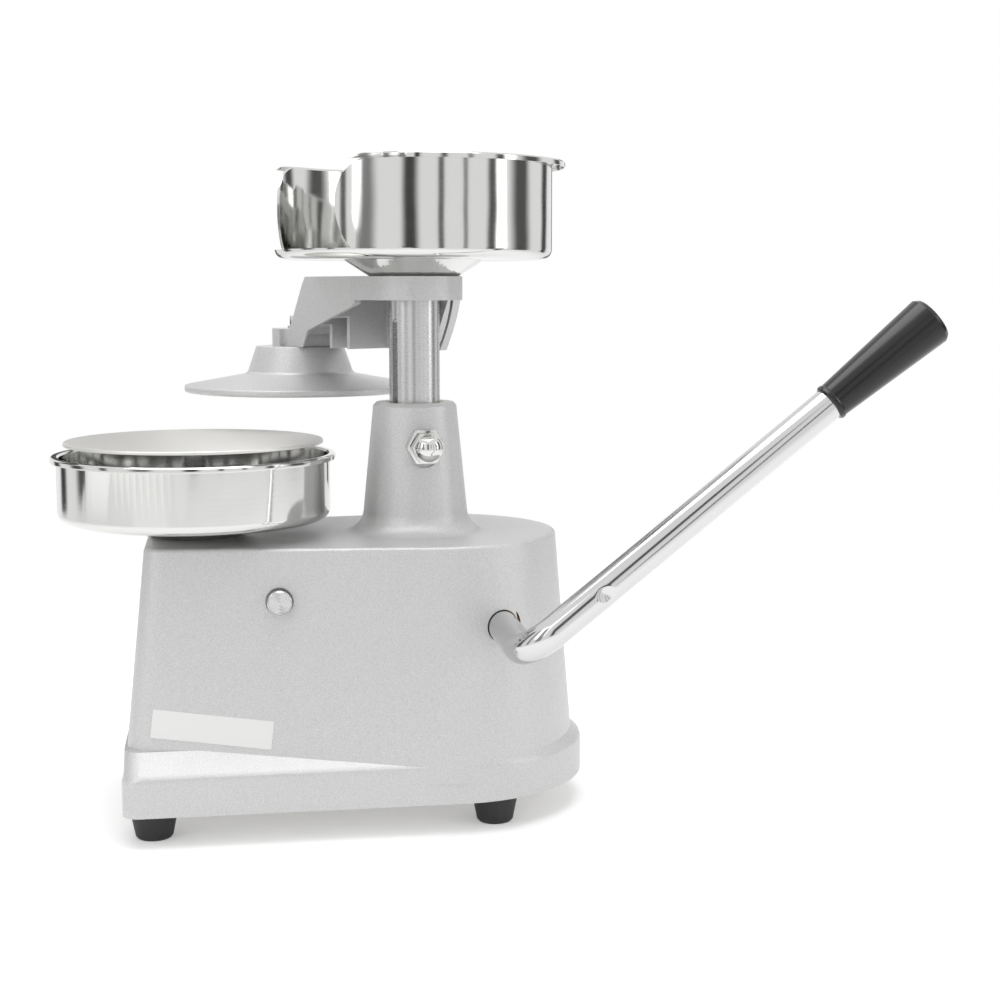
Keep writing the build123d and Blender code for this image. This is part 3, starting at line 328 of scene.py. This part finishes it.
# Fork and rocker: plain grey iron castings inside the base, one held on the shaft by set screws, the
# other turning on the pivot pin. The eye sees dull grey metal with the coarse skin of the sand mould.
IRON_GRAIN_MM = 3.33
iron, tree, shader, place = start_finish("grey_cast_iron", "#5E5E60", 0.6)
grain = add(tree, "TexNoise", {"Vector": place, "Scale": 1000 / IRON_GRAIN_MM, "Detail": 4.0})
bump = add(tree, "Bump", {"Height": grain.outputs["Fac"], "Strength": 0.4, "Distance": 0.0004})
tree.links.new(bump.outputs["Normal"], shader.inputs["Normal"])
shader.inputs["Roughness"].default_value = 0.6
coat(iron, "crank_fork", "rocker")


# Bushes: pressed and oiled bronze, a dull brown metal whose gloss varies with the oil. The one in the
# right wall has a chamfer round its outer end, which keeps it inside the curved wall.
OIL_MM = 2.0
BUSH_CHAMFER = 0.0019
BUSH_MIDDLE_R = 0.0100
END_WITHIN = 1e-5
bronze, tree, shader, place = start_finish("oiled_bronze", "#8A7452", 1.0)
grain = add(tree, "TexNoise", {"Vector": place, "Scale": 1000 / OIL_MM, "Detail": 3.0})
rough = add(tree, "MapRange", {"Value": grain.outputs["Fac"], "To Min": 0.3, "To Max": 0.4})
tree.links.new(rough.outputs["Result"], shader.inputs["Roughness"])
coat(bronze, "column_bush_upper", "column_bush_lower", "ejector_bush", "shaft_bush_left")


def on_bush_rim(vert):
    """Whether a vertex lies on the outer rim of the right bush's outer end."""
    at_end = abs(vert.co.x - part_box("shaft_bush_right")[1][0]) < END_WITHIN
    return at_end and (vert.co.yz - SHAFT_END.yz).length > BUSH_MIDDLE_R


bm = merged_copy("shaft_bush_right")
rim = [e for e in bm.edges if all(on_bush_rim(v) for v in e.verts)]
bmesh.ops.bevel(bm, geom=rim, offset=BUSH_CHAMFER, offset_type="OFFSET", affect="EDGES", segments=1,
                profile=0.5, clamp_overlap=True, material=-1)
make_piece(bm, "shaft_bush_right_finished", bronze, "base", stands_for="shaft_bush_right")


# Label: a bare rectangle of thin white foil, stuck low on the right wall a little aslant. The eye sees
# a flat white with a slight sheen. Its grid is dropped on the casting from the side, so that it follows
# the wall.
LABEL_LONG, LABEL_HIGH, LABEL_THICK = 0.067, 0.0158, 0.0004
LABEL_Y, LABEL_Z = -0.1502, 0.0636
LABEL_TILT = radians(-6.8)
DROP_FROM_X = 0.2
FOIL_GRAIN_MM = 1.11
foil, tree, shader, place = start_finish("satin_white_foil", "#E4E4E3", 0.0)
grain = add(tree, "TexNoise", {"Vector": place, "Scale": 1000 / FOIL_GRAIN_MM, "Detail": 2.0})
rough = add(tree, "MapRange", {"Value": grain.outputs["Fac"], "To Min": 0.30, "To Max": 0.40})
tree.links.new(rough.outputs["Result"], shader.inputs["Roughness"])
FACING_X = Matrix(((0, 0, 1, 0), (1, 0, 0, 0), (0, 1, 0, 0), (0, 0, 0, 1)))
walls = bmesh.new()
walls.from_mesh(frame["nodes"]["base_housing"].data)
wall = BVHTree.FromBMesh(walls)
walls.free()
bm = bmesh.new()
bmesh.ops.create_grid(bm, x_segments=24, y_segments=6, size=0.5)
bmesh.ops.scale(bm, vec=(LABEL_LONG, LABEL_HIGH, 1.0), verts=bm.verts)
bmesh.ops.rotate(bm, matrix=Matrix.Rotation(LABEL_TILT, 3, "Z"), verts=bm.verts)
stand = Matrix.Translation((DROP_FROM_X, LABEL_Y, LABEL_Z)) @ FACING_X
bmesh.ops.transform(bm, matrix=stand, verts=bm.verts)
for vert in bm.verts:
    vert.co.x = wall.ray_cast(vert.co, Vector((-1, 0, 0)))[0].x + LABEL_THICK
made = bmesh.ops.extrude_face_region(bm, geom=bm.faces[:])["geom"]
bmesh.ops.translate(bm, vec=(-LABEL_THICK, 0, 0), verts=only(made, BMVert))
bmesh.ops.recalc_face_normals(bm, faces=bm.faces)
make_piece(bm, "label", foil, "base")


# Feet: four tapered buffers of moulded rubber, each screwed to the underside of the base. The eye sees
# a matt black with hardly any gloss.
RUBBER_GRAIN_MM = 0.833
rubber, tree, shader, place = start_finish("matt_black_rubber", "#2B2B2C", 0.0)
grain = add(tree, "TexNoise", {"Vector": place, "Scale": 1000 / RUBBER_GRAIN_MM, "Detail": 2.0})
rough = add(tree, "MapRange", {"Value": grain.outputs["Fac"], "To Min": 0.55, "To Max": 0.7})
tree.links.new(rough.outputs["Result"], shader.inputs["Roughness"])
coat(rubber, "rubber_feet")


# Grip: moulded phenolic plastic, pressed on the rod's end. The eye sees a deep black with a gloss that
# hands have dulled in soft patches.
PATCH_MM = 11.1
plastic, tree, shader, place = start_finish("glossy_black_phenolic_plastic", "#141414", 0.0)
patch = add(tree, "TexNoise", {"Vector": place, "Scale": 1000 / PATCH_MM, "Detail": 2.0})
rough = add(tree, "MapRange", {"Value": patch.outputs["Fac"], "To Min": 0.16, "To Max": 0.24})
tree.links.new(rough.outputs["Result"], shader.inputs["Roughness"])
coat(plastic, "lever_grip")


# Floor: a white paper sweep that keeps the soft shadow. It fades out into the white world around the
# object, and a little glow, which lights nothing, brings its white up to the world's.
FLOOR_HALF = 1.6
FADE_FROM, FADE_TO = 0.45, 1.3
GLOW = 0.24


def plain_view(tree):
    """One for a camera, glossy or transmission ray, nought for the rays that light the object."""
    path = add(tree, "LightPath")
    seen = add(tree, "Math", {0: path.outputs["Is Camera Ray"], 1: path.outputs["Is Glossy Ray"]},
               operation="MAXIMUM")
    seen = add(tree, "Math", {0: seen.outputs[0], 1: path.outputs["Is Transmission Ray"]},
               operation="MAXIMUM")
    return seen.outputs[0]


mesh = bpy.data.meshes.new("floor")
bm = bmesh.new()
bmesh.ops.create_grid(bm, x_segments=1, y_segments=1, size=FLOOR_HALF)
bm.to_mesh(mesh)
bm.free()
floor = bpy.data.objects.new("floor", mesh)
bpy.context.scene.collection.objects.link(floor)
paper = bpy.data.materials.new("white_paper_sweep")
paper.use_nodes = True
tree = paper.node_tree
tree.nodes.clear()
place = add(tree, "TexCoord").outputs["Object"]
reach = add(tree, "VectorMath", {"Vector": place}, operation="LENGTH")
fade = add(tree, "MapRange", {"Value": reach.outputs["Value"], "From Min": FADE_FROM, "From Max": FADE_TO},
           interpolation_type="SMOOTHSTEP")
white = add(tree, "BsdfDiffuse", {"Color": colour("#F0F0F0")})
glow = add(tree, "Emission", {"Color": colour("#FFFFFF"), "Strength": GLOW})
dark = add(tree, "Emission", {"Strength": 0.0})
seen_glow = add(tree, "MixShader", {0: plain_view(tree), 1: dark.outputs[0], 2: glow.outputs[0]})
sheet = add(tree, "AddShader", {0: white.outputs[0], 1: seen_glow.outputs[0]})
clear = add(tree, "BsdfTransparent")
mix = add(tree, "MixShader", {0: fade.outputs["Result"], 1: sheet.outputs[0], 2: clear.outputs[0]})
add(tree, "OutputMaterial", {"Surface": mix.outputs[0]})
mesh.materials.append(paper)


# World: a white room that the camera and the polished metal see at full strength. As light on the
# object it is weaker, so that pale surfaces don't clip to white.
ROOM_LIGHT = 0.70
world = bpy.data.worlds.new("studio")
bpy.context.scene.world = world
world.use_nodes = True
tree = world.node_tree
tree.nodes.clear()
seen = add(tree, "Background", {"Color": colour("#FFFFFF"), "Strength": 1.0})
around = add(tree, "Background", {"Color": colour("#FFFFFF"), "Strength": ROOM_LIGHT})
mix = add(tree, "MixShader", {0: plain_view(tree), 1: around.outputs[0], 2: seen.outputs[0]})
add(tree, "OutputWorld", {"Surface": mix.outputs[0]})


# Flags: grey paper screens round the set, each fading out towards its two upright edges. They are seen
# only in reflections, where they draw the upright streaks on the polished steel. A row gives a flag's
# turn round the set and its width, both in degrees, and its grey.
FLAG_REACH = 1.35
FLAG_HIGH = 1.1
FLAG_FADE = 0.38
FLAGS = (
    (-165, 18, "#5A5A5A"), (-130, 20, "#4A4A4A"), (-100, 22, "#565656"), (-74, 10, "#6A6A6A"),
    (-45, 24, "#909090"), (-9, 17, "#4A4A4A"), (14, 7, "#6A6A6A"), (34, 6, "#989898"),
    (58, 14, "#4E4E4E"), (89, 32, "#5E5E5E"), (128, 20, "#505050"), (158, 12, "#606060"),
)
flag_paint = bpy.data.materials.new("grey_studio_flag")
flag_paint.use_nodes = True
tree = flag_paint.node_tree
tree.nodes.clear()
spot = add(tree, "SeparateXYZ", {"Vector": add(tree, "TexCoord").outputs["UV"]})
from_edge = add(tree, "Math", {0: spot.outputs["X"], 1: 0.5}, operation="PINGPONG")
solid = add(tree, "MapRange", {"Value": from_edge.outputs[0], "From Min": 0.0, "From Max": FLAG_FADE},
            interpolation_type="SMOOTHSTEP")
paint = add(tree, "BsdfDiffuse", {"Color": add(tree, "ObjectInfo").outputs["Color"]})
clear = add(tree, "BsdfTransparent")
mix = add(tree, "MixShader", {0: solid.outputs["Result"], 1: clear.outputs[0], 2: paint.outputs[0]})
add(tree, "OutputMaterial", {"Surface": mix.outputs[0]})
for number, (turn, width, grey) in enumerate(FLAGS):
    mesh = bpy.data.meshes.new(f"flag_{number}")
    bm = bmesh.new()
    bm.loops.layers.uv.new("UVMap")
    bmesh.ops.create_grid(bm, x_segments=1, y_segments=1, size=0.5, calc_uvs=True)
    wide = 2 * FLAG_REACH * tan(radians(width / 2))
    bmesh.ops.scale(bm, vec=(wide, FLAG_HIGH, 1.0), verts=bm.verts)
    stand = Matrix.Translation((FLAG_REACH, 0, FLAG_HIGH / 2)) @ FACING_X
    bmesh.ops.transform(bm, matrix=Matrix.Rotation(radians(turn), 4, "Z") @ stand, verts=bm.verts)
    bm.to_mesh(mesh)
    bm.free()
    mesh.materials.append(flag_paint)
    flag = bpy.data.objects.new(f"flag_{number}", mesh)
    flag.color = colour(grey)
    bpy.context.scene.collection.objects.link(flag)
    flag.visible_camera = False
    flag.visible_diffuse = False
    flag.visible_shadow = False


# Lamps: a broad one overhead, one from the front left of the picture and a low strip at the right.
# A row gives a lamp's place and aim in metres, its width and height in metres, and its watts.
LAMPS = (
    ("overhead", (0.1, -0.1, 1.6), (0.0, 0.0, 0.2), (1.4, 1.2), 15.0),
    ("front_left", (1.1, -1.3, 0.9), (0.0, 0.0, 0.2), (0.9, 1.1), 5.0),
    ("right", (0.7, 1.5, 0.7), (0.0, 0.1, 0.2), (0.5, 1.2), 4.0),
)
for name, where, aim, size, watts in LAMPS:
    light = bpy.data.lights.new(name, "AREA")
    light.shape = "RECTANGLE"
    light.size, light.size_y = size
    light.energy = watts
    lamp = bpy.data.objects.new(name, light)
    lamp.location = where
    lamp.rotation_euler = (Vector(aim) - Vector(where)).to_track_quat("-Z", "Y").to_euler()
    bpy.context.scene.collection.objects.link(lamp)


# Camera: at the photograph's viewing angle, on the side of the hand lever, looking slightly down, with
# the object turned 9 degrees.
LENS_MM, SENSOR_MM = 60.6, 36.0
CAMERA_PLACE = (1.01296, -0.13486, 0.3095)
LOOK_DOWN, LOOK_TURN = 7.26, 81.0
camera_data = bpy.data.cameras.new("camera")
camera_data.lens = LENS_MM
camera_data.sensor_width = SENSOR_MM
camera = bpy.data.objects.new("camera", camera_data)
camera.location = CAMERA_PLACE
camera.rotation_euler = (radians(90 - LOOK_DOWN), 0.0, radians(LOOK_TURN))
bpy.context.scene.collection.objects.link(camera)
bpy.context.scene.camera = camera
bpy.context.scene.view_settings.view_transform = "Standard"
